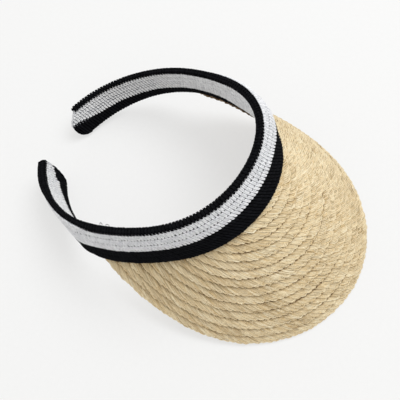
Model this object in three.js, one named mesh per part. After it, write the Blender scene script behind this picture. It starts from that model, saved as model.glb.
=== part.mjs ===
// Open-backed sun visor: a C-shaped padded head band covered in striped knit tape, and a
// long brim sewn from overlapping rows of plaited raffia. Millimetres, +Z up. The visor
// stands as it does on a table, on the edge of its brim and the left free end of its band;
// the right end hangs a little above it. The front of the head is towards -Y, and +X is the
// wearer's left.
import * as THREE from 'three';

// ---- Driving dimensions: head band -------------------------------------------------
const BAND_RADIUS = 80;          // mean plan radius at the middle of the band's wall
// The plan outline is an egg: each term is a share of BAND_RADIUS times cos(n * angle).
const BAND_PLAN_TERMS = [0, -0.10, 0.133, -0.017, 0.004, -0.007];
const BAND_END_ANGLE = 165;      // degrees from the front to each free end, before its run
const BAND_HEIGHT = 31;          // height of the band, before the two terms below
const BAND_HEIGHT_FRONT = 3.2;   // extra at the front, and less at the free ends
const BAND_HEIGHT_OVAL = -1.5;
const BAND_THICKNESS = 5.2;
const BAND_LEAN_TERMS = [6.6, 0.2, -3.0, 3.6];   // outward lean in degrees, cos(n * angle)
// Near each free end the lower edge tucks in towards the head: degrees, start and span.
const LEFT_TUCK = { lean: 6, from: 126, span: 46 };
const RIGHT_TUCK = { lean: 11.5, from: 112, span: 24 };
// How far each free end runs past BAND_END_ANGLE, at its top and at its bottom.
const LEFT_END_RUN = { top: 2, bottom: 9 };
const RIGHT_END_RUN = { top: -3, bottom: -3 };
const END_RUN_SPAN = 25;         // degrees of band in which the run builds up
const TOP_CORNER_RADIUS = 1.7;   // rounding of the band's top edge, which leaves a flat strip
const NOSE_UP_PITCH = 26.1;      // degrees that the band tips back when the visor stands

// ---- Driving dimensions: layers of the band -----------------------------------------
const GAP = 0.3;                 // space between layers that touch
const TAPE = 0.9;                // thickness of the knit tape
const LINING_GAP = 0.42;         // space between the tape and what lies inside it
const SPRING_THICKNESS = 0.8;
const TOP_STRIPE = 2.9;          // depth of the black stripe that folds over the top
const OUTER_BLACK = 12.2;        // black stripe along the bottom of the outer face
const OUTER_BLACK_FRONT = 2.1;   // how much wider it is at the front
const INNER_BLACK = 6.9;         // black stripe along the bottom of the inner face
const INNER_BLACK_FRONT = -2.7;
const INNER_BLACK_END = 5;       // and how much wider again at the free ends
const INNER_BLACK_END_SPAN = 18; // degrees
const MARGIN_HEIGHT = 8;         // the brim's sewn margin that stands up inside the band
const MARGIN_THICKNESS = 1.5;
const END_CAP = 1.4;             // thickness of the turned-in end of the tape
const END_GAP = 0.4;             // space between it and the ends of the other layers
// The lining reaches lower behind the brim: degrees past the brim's end, and span.
const LINING_DROP = { after: 4, span: 6 };

// ---- Driving dimensions: brim --------------------------------------------------------
const BRIM_HALF_ANGLE = 103.5;   // degrees of band that the brim is sewn to, each side
const BRIM_LENGTH = 110.6;       // from the band to the edge, at the front
const BRIM_TAPER = 0.283;        // share by which a side rib is shorter than the plain arc
const BRIM_TAPER_END = -0.14;
const BRIM_SLOPE = 69.9;         // degrees below the band's plane, at the front
const BRIM_SLOPE_SIDE = -24.2;   // change of slope at the sides
const BRIM_SLOPE_END = 12.9;
const BRIM_CURL = 9;             // degrees that a rib bends between the band and the edge
const BRIM_TURN = 4.8;           // degrees that a side rib turns towards the front
const BRIM_TURN_END = 5.9;
const ROWS = 15;
const ROW_WIDTH = 7.36;          // part of each braid row that shows
const ROW_LAP = 2.0;             // part that lies under the next row in
const BRAID_THICKNESS = 1.5;
const BRAID_GAP = 0.35;
const ROW_END_WIDTH = 2.6;       // a row is cut off where less than this is left
const BRIM_ROOT_OUT = 0.1;       // place of the brim's root in the band's wall
const BRIM_ROOT_DROP = 0.9;      // and its distance below the wall

// ---- Facets ---------------------------------------------------------------------------
const BAND_STEPS = 72;
const LINING_STEPS = 68;         // of the same length, so the lining stops short of the free ends
const ROW_STEP = 9;              // length of one step along a braid row
const ROUND_STEPS = 4;
const LEAST_ROW_STEPS = 8;       // steps along the shortest braid row
const HALVINGS = 30;             // rounds of the search for the end of a row
const SMALL_ANGLE = 1e-4;        // radians, for the direction of the plan curve
const SMALL_SHARE = 1e-3;        // share of the brim, for the direction of its edge

const COLOURS = {
  black: { color: 0x15161b, roughness: 0.9 },
  white: { color: 0xdcdde2, roughness: 0.85 },
  foam: { color: 0xe9e4d6, roughness: 0.95 },
  spring: { color: 0xd8d8d4, roughness: 0.5 },
  raffia: { color: 0xd9c596, roughness: 0.7 },
};

const rad = THREE.MathUtils.degToRad;
const visor = new THREE.Group();

/** Sum of terms[n] * cos(n * angle). */
function cosineSeries(terms, angle) {
  return terms.reduce((sum, term, n) => sum + term * Math.cos(n * angle), 0);
}

/** Plan point of the band's middle line at the top, angle 0 at the front, plus X to the left. */
function planPoint(angle) {
  const radius = BAND_RADIUS * (1 + cosineSeries(BAND_PLAN_TERMS, angle));
  return new THREE.Vector3(radius * Math.sin(angle), -radius * Math.cos(angle), 0);
}

/** Unit vector of the plan curve that points outwards from the head. */
function outwardsAt(angle) {
  const ahead = planPoint(angle + SMALL_ANGLE);
  const along = ahead.sub(planPoint(angle - SMALL_ANGLE)).normalize();
  return new THREE.Vector3(along.y, -along.x, 0);
}

function bandHeight(angle) {
  return BAND_HEIGHT + BAND_HEIGHT_FRONT * Math.cos(angle) + BAND_HEIGHT_OVAL * Math.cos(2 * angle);
}

/** Smooth step from 0 to 1 that starts at from degrees and takes span degrees. */
function stepAlong(angle, from, span) {
  return THREE.MathUtils.smoothstep(THREE.MathUtils.radToDeg(angle), from, from + span);
}

/** Outward lean of the band's wall, less its tuck near the free ends. */
function bandLean(angle) {
  const left = LEFT_TUCK.lean * stepAlong(angle, LEFT_TUCK.from, LEFT_TUCK.span);
  const right = RIGHT_TUCK.lean * stepAlong(-angle, RIGHT_TUCK.from, RIGHT_TUCK.span);
  return rad(cosineSeries(BAND_LEAN_TERMS, angle) - left - right);
}

/** Angle moved along by the run of the free ends, which differs from top to bottom. */
function withEndRun(angle, depth) {
  const run = angle > 0 ? LEFT_END_RUN : RIGHT_END_RUN;
  const length = THREE.MathUtils.lerp(run.top, run.bottom, depth / bandHeight(angle));
  const build = stepAlong(Math.abs(angle), BAND_END_ANGLE - END_RUN_SPAN, END_RUN_SPAN);
  return angle + Math.sign(angle) * build * length / planPoint(angle).length();
}

/** Point of the band's wall: level distance out from its middle, and down its leaning height. */
function bandPoint(nominalAngle, out, depth) {
  const angle = withEndRun(nominalAngle, depth);
  const lean = bandLean(angle);
  const outwards = outwardsAt(angle);
  const point = planPoint(angle).addScaledVector(outwards, out + depth * Math.sin(lean));
  point.z = -depth * Math.cos(lean);
  return point;
}

/** Volume inside a triangle list, positive where the faces point outwards. */
function signedVolume(points, triangles) {
  let six = 0;
  for (const [a, b, c] of triangles) {
    six += points[a].dot(new THREE.Vector3().crossVectors(points[b], points[c]));
  }
  return six / 6;
}

/**
 * Closed solid through rings with equal numbers of points; flat gives the end section.
 * Each quad is split along its shorter diagonal, so that layers that face each other match.
 */
function loft(rings, flat) {
  const count = rings[0].length;
  const points = rings.flat();
  const triangles = [];
  for (let ring = 0; ring < rings.length - 1; ring += 1) {
    for (let i = 0; i < count; i += 1) {
      const a = ring * count + i;
      const b = ring * count + (i + 1) % count;
      const rising = points[a].distanceTo(points[b + count]);
      const falling = points[b].distanceTo(points[a + count]);
      if (rising < falling) {
        triangles.push([a, b, b + count], [a, b + count, a + count]);
      } else {
        triangles.push([a, b, a + count], [b, b + count, a + count]);
      }
    }
  }
  const section = flat.map(([x, y]) => new THREE.Vector2(x, y));
  const turn = Math.sign(THREE.ShapeUtils.area(section));
  const last = (rings.length - 1) * count;
  for (const corners of THREE.ShapeUtils.triangulateShape(section, [])) {
    const sameTurn = Math.sign(THREE.ShapeUtils.area(corners.map((i) => section[i]))) === turn;
    const [a, b, c] = sameTurn ? corners : corners.toReversed();
    triangles.push([c, b, a], [last + a, last + b, last + c]);
  }
  return closedGeometry(points, triangles);
}

/** Geometry of a triangle list, turned so that its faces point outwards. */
function closedGeometry(points, triangles) {
  const outward = signedVolume(points, triangles) > 0;
  const geometry = new THREE.BufferGeometry();
  geometry.setAttribute('position', new THREE.Float32BufferAttribute(
    points.flatMap((point) => [point.x, point.y, point.z]), 3));
  geometry.setIndex(triangles.flatMap(([a, b, c]) => (outward ? [a, b, c] : [a, c, b])));
  geometry.computeVertexNormals();
  return geometry;
}

function addPart(name, geometry, finish) {
  const material = new THREE.MeshStandardMaterial({ ...COLOURS[finish], metalness: 0 });
  const mesh = new THREE.Mesh(geometry, material);
  mesh.name = name;
  visor.add(mesh);
}

/** Sweep a section, a function of the angle that gives [out, depth] pairs, along the band. */
function sweepBand(section, from, to, steps) {
  const rings = [];
  for (let i = 0; i <= steps; i += 1) {
    const angle = from + (to - from) * i / steps;
    rings.push(section(angle).map(([out, depth]) => bandPoint(angle, out, depth)));
  }
  return loft(rings, section(from));
}

/** Four corners of a layer between two offsets and two depths. */
function layer(outFrom, outTo, depthFrom, depthTo) {
  return [[outFrom, depthFrom], [outTo, depthFrom], [outTo, depthTo], [outFrom, depthTo]];
}

/** Corner arc about [out, depth], from one angle to another in degrees; 0 points outwards. */
function cornerArc(out, depth, radius, fromDegrees, toDegrees) {
  return Array.from({ length: ROUND_STEPS + 1 }, (unused, i) => {
    const turn = rad(fromDegrees + (toDegrees - fromDegrees) * i / ROUND_STEPS);
    return [out + radius * Math.cos(turn), depth - radius * Math.sin(turn)];
  });
}

// ---- Head band -------------------------------------------------------------------------
const half = BAND_THICKNESS / 2;
const endAngle = rad(BAND_END_ANGLE);
const capAngle = endAngle - (END_CAP + END_GAP) / planPoint(endAngle).length();
const springFace = half - TAPE - LINING_GAP;
const foamFace = springFace - SPRING_THICKNESS - GAP;

/** Black tape folded over the top: rounded outside, a smaller arc inside. */
function topFold() {
  const inset = half - TOP_CORNER_RADIUS;
  const inner = TOP_CORNER_RADIUS - TAPE;
  return [
    [half, TOP_STRIPE],
    ...cornerArc(inset, TOP_CORNER_RADIUS, TOP_CORNER_RADIUS, 0, 90),
    ...cornerArc(-inset, TOP_CORNER_RADIUS, TOP_CORNER_RADIUS, 90, 180),
    [-half, TOP_STRIPE],
    [-half + TAPE, TOP_STRIPE],
    ...cornerArc(-inset, TOP_CORNER_RADIUS, inner, 180, 90),
    ...cornerArc(inset, TOP_CORNER_RADIUS, inner, 90, 0),
    [half - TAPE, TOP_STRIPE],
  ];
}

function outerBlackHeight(angle) {
  return OUTER_BLACK + OUTER_BLACK_FRONT * Math.cos(angle);
}

function innerBlackHeight(angle) {
  const end = stepAlong(Math.abs(angle), BAND_END_ANGLE - INNER_BLACK_END_SPAN, INNER_BLACK_END_SPAN);
  return INNER_BLACK + INNER_BLACK_FRONT * Math.cos(angle) + INNER_BLACK_END * end;
}

/** Depth at which the padding stops: above the brim's margin, or near the bottom behind it. */
function paddingDepth(angle) {
  const room = MARGIN_HEIGHT + GAP;
  const blend = stepAlong(Math.abs(angle), BRIM_HALF_ANGLE + LINING_DROP.after, LINING_DROP.span);
  return bandHeight(angle) - room + (room - TAPE) * blend;
}

function addBand() {
  const sweep = (section) => sweepBand(section, -capAngle, capAngle, BAND_STEPS);
  const liningAngle = capAngle * LINING_STEPS / BAND_STEPS;
  const line = (section) => sweepBand(section, -liningAngle, liningAngle, LINING_STEPS);
  const inside = TAPE + GAP;
  addPart('top_fold_black', sweep(topFold), 'black');
  addPart('outer_tape_white', sweep((angle) => layer(
    half - TAPE, half, TOP_STRIPE + GAP, bandHeight(angle) - outerBlackHeight(angle) - GAP)), 'white');
  addPart('outer_tape_black', sweep((angle) => layer(
    half - TAPE, half, bandHeight(angle) - outerBlackHeight(angle), bandHeight(angle))), 'black');
  addPart('inner_tape_white', sweep((angle) => layer(
    -half, TAPE - half, TOP_STRIPE + GAP, bandHeight(angle) - innerBlackHeight(angle) - GAP)), 'white');
  addPart('inner_tape_black', sweep((angle) => layer(
    -half, TAPE - half, bandHeight(angle) - innerBlackHeight(angle), bandHeight(angle))), 'black');
  addPart('spring_strip', line((angle) => layer(
    springFace - SPRING_THICKNESS, springFace, inside, paddingDepth(angle))), 'spring');
  addPart('forehead_foam', line((angle) => layer(
    -springFace, foamFace, inside, paddingDepth(angle))), 'foam');
}

/** Turned-in tape that closes one free end of the band, with its corners rounded. */
function addEndCap(name, side) {
  const outline = (angle) => [
    ...cornerArc(half - TOP_CORNER_RADIUS, TOP_CORNER_RADIUS, TOP_CORNER_RADIUS, 0, 90),
    ...cornerArc(TOP_CORNER_RADIUS - half, TOP_CORNER_RADIUS, TOP_CORNER_RADIUS, 90, 180),
    [-half, bandHeight(angle)],
    [half, bandHeight(angle)],
  ];
  const inner = capAngle + END_GAP / planPoint(endAngle).length();
  addPart(name, sweepBand(outline, side * inner, side * endAngle, 1), 'white');
}

// ---- Brim --------------------------------------------------------------------------------
const brimHalf = rad(BRIM_HALF_ANGLE);

/** Edge of the brim; across runs from -1 to 1 between the brim's two points. */
function brimEdge(across) {
  const angle = across * brimHalf;
  const square = across * across;
  const taper = BRIM_TAPER * square + BRIM_TAPER_END * square ** 3;
  const length = BRIM_LENGTH * (1 - square) * (1 - taper);
  const slope = rad(BRIM_SLOPE + BRIM_SLOPE_SIDE * square + BRIM_SLOPE_END * square ** 2);
  const turn = rad(BRIM_TURN * across + BRIM_TURN_END * across ** 3);
  const heading = outwardsAt(angle).applyAxisAngle(new THREE.Vector3(0, 0, 1), -turn);
  const edge = bandPoint(angle, half, bandHeight(angle));
  edge.addScaledVector(heading, length * Math.cos(slope));
  edge.z -= length * Math.sin(slope);
  return edge;
}

/** Root of the brim, just below the band's wall. */
function brimRoot(across) {
  const angle = across * brimHalf;
  return bandPoint(angle, BRIM_ROOT_OUT, bandHeight(angle) + BRIM_ROOT_DROP);
}

/** One rib of the brim: its two ends, its length square to the edge, and its bulge direction. */
function brimRib(across) {
  const root = brimRoot(across);
  const edge = brimEdge(across);
  const chord = edge.clone().sub(root);
  const ahead = brimEdge(across + SMALL_SHARE);
  const along = ahead.sub(brimEdge(across - SMALL_SHARE)).normalize();
  const rise = new THREE.Vector3().crossVectors(along, chord).normalize();
  const width = new THREE.Vector3().crossVectors(along, chord).length();
  const bulge = chord.length() * rad(BRIM_CURL) / 8;
  return { root, chord, rise: rise.negate(), width, bulge };
}

/** Point of the brim: a distance in from the edge, and a height above the middle surface. */
function brimPoint(across, inwards, height) {
  const { root, chord, rise, width, bulge } = brimRib(across);
  const share = 1 - inwards / width;
  const arch = 4 * bulge * share * (1 - share);
  return root.addScaledVector(chord, share).addScaledVector(rise, arch + height);
}

/** Where a row is cut off by the band: the rib that leaves only ROW_END_WIDTH of it. */
function rowReach(outerLimit) {
  let inside = 0;
  let outside = 1;
  for (let i = 0; i < HALVINGS; i += 1) {
    const middle = (inside + outside) / 2;
    if (brimRib(middle).width - outerLimit > ROW_END_WIDTH) {
      inside = middle;
    } else {
      outside = middle;
    }
  }
  return inside;
}

/** One row of braid, tilted like a roof tile so that its outer edge lies on the next row out. */
function braidRow(row) {
  const outerLimit = row * ROW_WIDTH;
  const reach = rowReach(outerLimit);
  const tilt = (BRAID_THICKNESS + BRAID_GAP) / ROW_WIDTH;
  const middle = (row + 0.5) * ROW_WIDTH;
  const section = (across) => {
    const innerLimit = Math.min((row + 1) * ROW_WIDTH + ROW_LAP, brimRib(across).width);
    const outerTop = (middle - outerLimit) * tilt;
    const innerTop = (middle - innerLimit) * tilt;
    return [
      [outerLimit, outerTop],
      [innerLimit, innerTop],
      [innerLimit, innerTop - BRAID_THICKNESS],
      [outerLimit, outerTop - BRAID_THICKNESS],
    ];
  };
  const length = brimEdge(-reach).distanceTo(brimEdge(0)) * 2;
  const steps = Math.max(LEAST_ROW_STEPS, Math.round(length / ROW_STEP));
  const rings = [];
  for (let i = 0; i <= steps; i += 1) {
    const across = reach * (2 * i / steps - 1);
    rings.push(section(across).map(([inwards, height]) => brimPoint(across, inwards, height)));
  }
  return loft(rings, section(-reach));
}

function addBrim() {
  const margin = (angle) => layer(
    -MARGIN_THICKNESS / 2, MARGIN_THICKNESS / 2, bandHeight(angle) - MARGIN_HEIGHT, bandHeight(angle));
  addPart('brim_margin', sweepBand(margin, -brimHalf, brimHalf, BAND_STEPS), 'raffia');
  for (let row = 0; row < ROWS; row += 1) {
    addPart(`braid_row_${String(row + 1).padStart(2, '0')}`, braidRow(row), 'raffia');
  }
}

// ---- Assembly -----------------------------------------------------------------------------
addBand();
addEndCap('end_cap_left', 1);
addEndCap('end_cap_right', -1);
addBrim();

visor.rotation.x = -rad(NOSE_UP_PITCH);
visor.updateMatrixWorld(true);
const box = new THREE.Box3().setFromObject(visor, true);
visor.position.set(0, -(box.min.y + box.max.y) / 2, -box.min.z);

export default visor;
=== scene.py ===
import math

import bpy
import numpy as np
from mathutils import Matrix, Vector


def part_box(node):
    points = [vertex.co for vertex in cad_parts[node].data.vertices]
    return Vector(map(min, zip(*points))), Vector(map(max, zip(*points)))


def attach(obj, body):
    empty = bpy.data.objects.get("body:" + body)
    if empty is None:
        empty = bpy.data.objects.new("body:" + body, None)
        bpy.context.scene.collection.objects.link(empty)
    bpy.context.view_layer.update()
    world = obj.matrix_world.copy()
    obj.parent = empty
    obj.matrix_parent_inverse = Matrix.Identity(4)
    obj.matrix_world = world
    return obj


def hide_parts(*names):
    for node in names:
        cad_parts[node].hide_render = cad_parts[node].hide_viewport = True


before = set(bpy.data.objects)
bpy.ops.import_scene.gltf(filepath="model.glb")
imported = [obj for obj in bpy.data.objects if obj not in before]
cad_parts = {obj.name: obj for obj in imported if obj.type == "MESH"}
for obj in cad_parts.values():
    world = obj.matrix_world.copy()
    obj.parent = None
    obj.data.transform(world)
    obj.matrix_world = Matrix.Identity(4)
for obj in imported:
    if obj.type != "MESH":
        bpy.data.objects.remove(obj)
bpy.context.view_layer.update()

MM = 0.001
RANDOM = np.random.default_rng(20)

# ---- Driving dimensions of the band and brim, as in the CAD source ------------------------
BAND_RADIUS = 80
BAND_PLAN_TERMS = [0, -0.10, 0.133, -0.017, 0.004, -0.007]
BAND_END_ANGLE = 165
BAND_HEIGHT = 31
BAND_HEIGHT_FRONT = 3.2
BAND_HEIGHT_OVAL = -1.5
BAND_THICKNESS = 5.2
BAND_LEAN_TERMS = [6.6, 0.2, -3.0, 3.6]
RIGHT_TUCK = 11.5
RIGHT_TUCK_FROM = 112
RIGHT_TUCK_SPAN = 24
LEFT_TUCK = 6
LEFT_TUCK_FROM = 126
LEFT_TUCK_SPAN = 46
TOP_CORNER_RADIUS = 1.7
NOSE_UP_PITCH = 26.1
TAPE = 0.9
TOP_STRIPE = 2.9
OUTER_BLACK = 12.2
OUTER_BLACK_FRONT = 2.1
INNER_BLACK = 6.9
INNER_BLACK_FRONT = -2.7
MARGIN_HEIGHT = 8
MARGIN_THICKNESS = 1.5
SPRING_THICKNESS = 0.8
GAP = 0.3
LINING_GAP = 0.42
LINING_END_ANGLE = 154          # where the lining stops, short of the free ends
LINING_DROP_AFTER = 4           # degrees past the brim's end at which it reaches lower
LINING_DROP_SPAN = 6
BRIM_HALF_ANGLE = 103.5
BRIM_LENGTH = 110.6
BRIM_TAPER = 0.283
BRIM_TAPER_END = -0.14
BRIM_SLOPE = 69.9
BRIM_SLOPE_SIDE = -24.2
BRIM_SLOPE_END = 12.9
BRIM_CURL = 9
BRIM_TURN = 4.8
BRIM_TURN_END = 5.9
ROWS = 15
ROW_WIDTH = 7.36
BRAID_THICKNESS = 1.5
BRIM_ROOT_OUT = 0.1
BRIM_ROOT_DROP = 0.9

# ---- Driving dimensions of the knitting ----------------------------------------------------
RIB_PITCH = 2.45                # one column of stitches, along the band
YARN_WIDTH = 1.18
YARN_THICKNESS = 0.86
OUTER_WHITE_ROWS = 9            # stitches from the top to the bottom of each stripe
OUTER_BLACK_ROWS = 4
INNER_WHITE_ROWS = 7
INNER_BLACK_ROWS = 2
FOLD_ROWS = 4
UNDER_ROWS = 3
OUTER_LEGS = (0.60, 0.42)       # half the gap between a stitch's two legs, at its top and bottom
INNER_LEGS = (0.60, 0.27)
BLACK_LEGS = (0.46, 0.27)
FOLD_LEGS = (0.54, 0.38)
OUTER_OPEN_ROWS = (3, 6)        # rows of stitches with small holes before them
INNER_OPEN_ROWS = (2, 4, 5)
OPEN_ROW_GAP = 0.56             # size of those holes
OUTER_DARK_ROWS = (0.31, 0.645)  # where the backing behind them is dark, as shares of the height
WHITE_TIP = 0.7                 # how far a white rib's last stitch reaches over the black
BLACK_DROP = 0.45               # how far below the same line the black stitches start
STITCH_LAP = 0.16               # share of its length by which a stitch laps over the next one
GROUND_LEVELS = 38              # points of the backing, from its top to its bottom
GROUND_STEPS = 240              # and along the band
GROUND_DEPTH = 0.60             # its depth behind the face of the knitting
TAPE_LAP = 0.6                  # how far the outer tape hangs below the wall, over the brim
TAPE_FLARE = 0.7                # and how far it stands out there
SPLIT_LAP = 1.1                 # how far the black backing runs up behind the white stitches
LEFT_END_RUN = 2.6              # where the left end stops at its top, past the band's end angle
LEFT_END_SWEEP = 9.9            # how much further it runs below, and the depth of that sweep
LEFT_END_SWEEP_DEPTH = 9.0
LEFT_END_CORNER = 10.0          # rounding of its lower corner
RIGHT_END_RUN = -2.4            # the right end is domed: it stops furthest out at this depth
RIGHT_END_MIDDLE = 9.5
RIGHT_END_DOME = 0.018
RIGHT_END_CORNER = 3.0
END_BULGE = 0.42                # the tape bulges by this share of the half thickness round an end
PINCH = 1.3                     # the left end is sewn flat, to this much less half thickness
PINCH_RUN = 9.0
BOTTOM_ROUND = 1.2              # the tape bulges below the wall where it turns under
FRONT_BELLY = 4.6               # the outer tape stands off the wall at the left of the front
FRONT_LAP = 1.9                 # and there it laps over the top fold
SIDE_LAP = 1.5                  # as it does at the back of the right side
SIDE_INNER_LAP = 0.8
SIDE_THIN = 0.5                 # where the fold is thinner too, and the outer tape stands off
SIDE_BELLY = 2.2
INNER_BELLY = 2.6
FOLD_PUFF = 0.6                 # extra half thickness of the top fold towards the right end

# ---- Driving dimensions of the plait --------------------------------------------------------
STRANDS = 5
PLAIT_PERIOD = 22.5             # length in which a strand goes across and back
SHARPNESS = 0.93                # how sharply it turns at the plait's sides, up to 1
PLAIT_SWING = 4.8               # how far a strand's middle goes to each side
STRAND_WIDTH = 4.3
LEAVES = 4                      # split leaves that lie side by side in one strand
LEAF_THICKNESS = 0.78
EDGE_PLAIT_SWING = 4.4          # the plait at the brim's edge is narrower
EDGE_STRAND_WIDTH = 4.0
EDGE_SET_IN = 0.5               # and its loops stop short of the edge
ROW_END_WIDTH = 2.6             # a row is cut off where less than this is left
ROW_STEP_UP = 1.65              # how far a row's outer edge lies above the next row out
CREASE = 1.2                    # how far the shade reaches where a row goes under the next one in
STRAND_STEP = 1.3
MARGIN_RUN = 3.0                # how far the rows run up inside the band before they are cut
MARGIN_SWING = 0.8              # the pressed margin is two narrow plaits, one above the other
MARGIN_STRAND = 1.7
MARGIN_LEAF_DEPTH = 2.2
MARGIN_LEAF_STEP = 3.6

SMALL_ANGLE = 1e-4              # steps for the direction of the band's plan and the brim's edge
SMALL_SHARE = 1e-3
HALF = BAND_THICKNESS / 2
rad = math.radians


# ---- Surfaces --------------------------------------------------------------------------------
def unit(vectors):
    return vectors / np.linalg.norm(vectors, axis=-1, keepdims=True)


def smooth(value):
    """Smooth step from 0 to 1."""
    t = np.clip(value, 0, 1)
    return t * t * (3 - 2 * t)


def cosine_series(terms, angle):
    return sum(term * np.cos(n * angle) for n, term in enumerate(terms))


def plan_point(angle):
    """Plan point of the band's middle line at the top; angle 0 is the front, plus X the left."""
    radius = BAND_RADIUS * (1 + cosine_series(BAND_PLAN_TERMS, angle))
    return np.stack([radius * np.sin(angle), -radius * np.cos(angle), 0 * angle], -1)


def outwards_at(angle):
    along = unit(plan_point(angle + SMALL_ANGLE) - plan_point(angle - SMALL_ANGLE))
    return np.stack([along[..., 1], -along[..., 0], 0 * angle], -1)


def band_height(angle):
    return BAND_HEIGHT + BAND_HEIGHT_FRONT * np.cos(angle) + BAND_HEIGHT_OVAL * np.cos(2 * angle)


def band_lean(angle):
    """Outward lean of the wall; near the free ends its lower edge tucks in towards the head."""
    turn = np.degrees(angle)
    tuck = RIGHT_TUCK * smooth((-turn - RIGHT_TUCK_FROM) / RIGHT_TUCK_SPAN)
    tuck = tuck + LEFT_TUCK * smooth((turn - LEFT_TUCK_FROM) / LEFT_TUCK_SPAN)
    return np.radians(cosine_series(BAND_LEAN_TERMS, angle) - tuck)


def band_point(angle, out, depth):
    """Point of the band's wall: level distance out from its middle, and down its leaning height."""
    lean = band_lean(angle)
    across = (out + depth * np.sin(lean))[..., None]
    point = plan_point(angle) + outwards_at(angle) * across
    point[..., 2] = -depth * np.cos(lean)
    return point


ANGLE_TABLE = np.linspace(-rad(178), rad(178), 4001)
STEP_LENGTHS = np.linalg.norm(np.diff(plan_point(ANGLE_TABLE), axis=0), axis=1)
ARC_TABLE = np.concatenate([[0], np.cumsum(STEP_LENGTHS)])
ARC_TABLE -= ARC_TABLE[len(ARC_TABLE) // 2]


def angle_at(arc):
    """Angle of a distance along the band from its front, plus X positive."""
    return np.interp(arc, ARC_TABLE, ANGLE_TABLE)


END_ARC = float(np.interp(rad(BAND_END_ANGLE), ANGLE_TABLE, ARC_TABLE))


def brim_edge(across):
    angle = across * rad(BRIM_HALF_ANGLE)
    square = across * across
    length = BRIM_LENGTH * (1 - square) * (1 - BRIM_TAPER * square - BRIM_TAPER_END * square ** 3)
    slope = np.radians(BRIM_SLOPE + BRIM_SLOPE_SIDE * square + BRIM_SLOPE_END * square ** 2)
    turn = np.radians(BRIM_TURN * across + BRIM_TURN_END * across ** 3)
    heading = outwards_at(angle)
    x = heading[..., 0] * np.cos(turn) + heading[..., 1] * np.sin(turn)
    y = heading[..., 1] * np.cos(turn) - heading[..., 0] * np.sin(turn)
    level = length * np.cos(slope)
    edge = band_point(angle, HALF + 0 * angle, band_height(angle))
    return edge + np.stack([x * level, y * level, -length * np.sin(slope)], -1)


def brim_point(across, inwards, height):
    """Point of the brim: distance in from its edge, and height above its middle surface.
    Past its root it bends up into the band's wall."""
    angle = across * rad(BRIM_HALF_ANGLE)
    root_depth = band_height(angle) + BRIM_ROOT_DROP
    root = band_point(angle, BRIM_ROOT_OUT + 0 * angle, root_depth)
    chord = brim_edge(across) - root
    along = unit(brim_edge(across + SMALL_SHARE) - brim_edge(across - SMALL_SHARE))
    square = np.cross(along, chord)
    width = np.linalg.norm(square, axis=-1)
    rise = -unit(square)
    bulge = np.linalg.norm(chord, axis=-1) * rad(BRIM_CURL) / 8
    share = 1 - inwards / width
    lift = 4 * bulge * share * (1 - share) + height
    on_brim = root + chord * share[..., None] + rise * lift[..., None]
    past = np.maximum(inwards - width, 0)
    in_wall = band_point(angle, BRIM_ROOT_OUT + height * 0.6, root_depth - past)
    blend = smooth(past / 1.5)[..., None]
    return np.where(past[..., None] > 0, on_brim * (1 - blend) + in_wall * blend, on_brim)


def brim_width(across):
    root_angle = across * rad(BRIM_HALF_ANGLE)
    root = band_point(root_angle, BRIM_ROOT_OUT + 0 * root_angle, band_height(root_angle) + BRIM_ROOT_DROP)
    along = unit(brim_edge(across + SMALL_SHARE) - brim_edge(across - SMALL_SHARE))
    return np.linalg.norm(np.cross(along, brim_edge(across) - root), axis=-1)


# ---- From the band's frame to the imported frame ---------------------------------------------
def tipped(points):
    """Points of the band's frame, tipped back as the visor stands."""
    turn = Matrix.Rotation(-rad(NOSE_UP_PITCH), 3, "X")
    return points @ np.array(turn).T


def visor_origin():
    """Place of the band frame's origin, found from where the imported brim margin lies."""
    angles = np.linspace(-rad(BRIM_HALF_ANGLE), rad(BRIM_HALF_ANGLE), 73)
    half = MARGIN_THICKNESS / 2
    corners = [band_point(angles, half * side + 0 * angles, band_height(angles) - up)
               for side in (-1, 1) for up in (0, MARGIN_HEIGHT)]
    low = tipped(np.concatenate(corners)).min(0) * MM
    return np.array(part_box("brim_margin")[0]) - low


ORIGIN = visor_origin()


# ---- Meshes ------------------------------------------------------------------------------------
class Shape:
    """Points, faces and per-point attributes of one piece, gathered from its parts."""

    def __init__(self):
        self.points = []
        self.faces = []
        self.marks = []
        self.attributes = {"thread": [], "tone": []}
        self.count = 0

    def add(self, points, faces, thread=None, tone=0.5, mark=0):
        """Joins a part. thread is along, across and around a fibre; tone runs from 0 to 1; mark is
        the number of its material."""
        points = points.reshape(-1, 3)
        size = len(points)
        self.points.append(points)
        shifted = faces + self.count
        self.faces.extend(shifted)
        self.marks.append(np.full(len(shifted), mark, np.int32))
        self.attributes["thread"].append(points if thread is None else thread.reshape(-1, 3))
        self.attributes["tone"].append(np.broadcast_to(np.asarray(tone, float).reshape(-1), size))
        self.count += size


class Faces:
    """A list of faces whose corner numbers can be shifted together."""

    def __init__(self, *lists):
        self.lists = [np.asarray(faces) for faces in lists if len(faces)]

    def __add__(self, shift):
        return [face for faces in self.lists for face in (faces + shift).tolist()]


def tube_faces(rings, sides):
    """Faces of a closed tube whose points are numbered ring by ring."""
    ring, side = np.meshgrid(np.arange(rings - 1), np.arange(sides), indexing="ij")
    here = (ring * sides + side).ravel()
    beside = (ring * sides + (side + 1) % sides).ravel()
    walls = np.stack([here, beside, beside + sides, here + sides], -1)
    last = (rings - 1) * sides
    caps = [np.arange(sides)[::-1], last + np.arange(sides)]
    return Faces(walls, np.array(caps))


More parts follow.
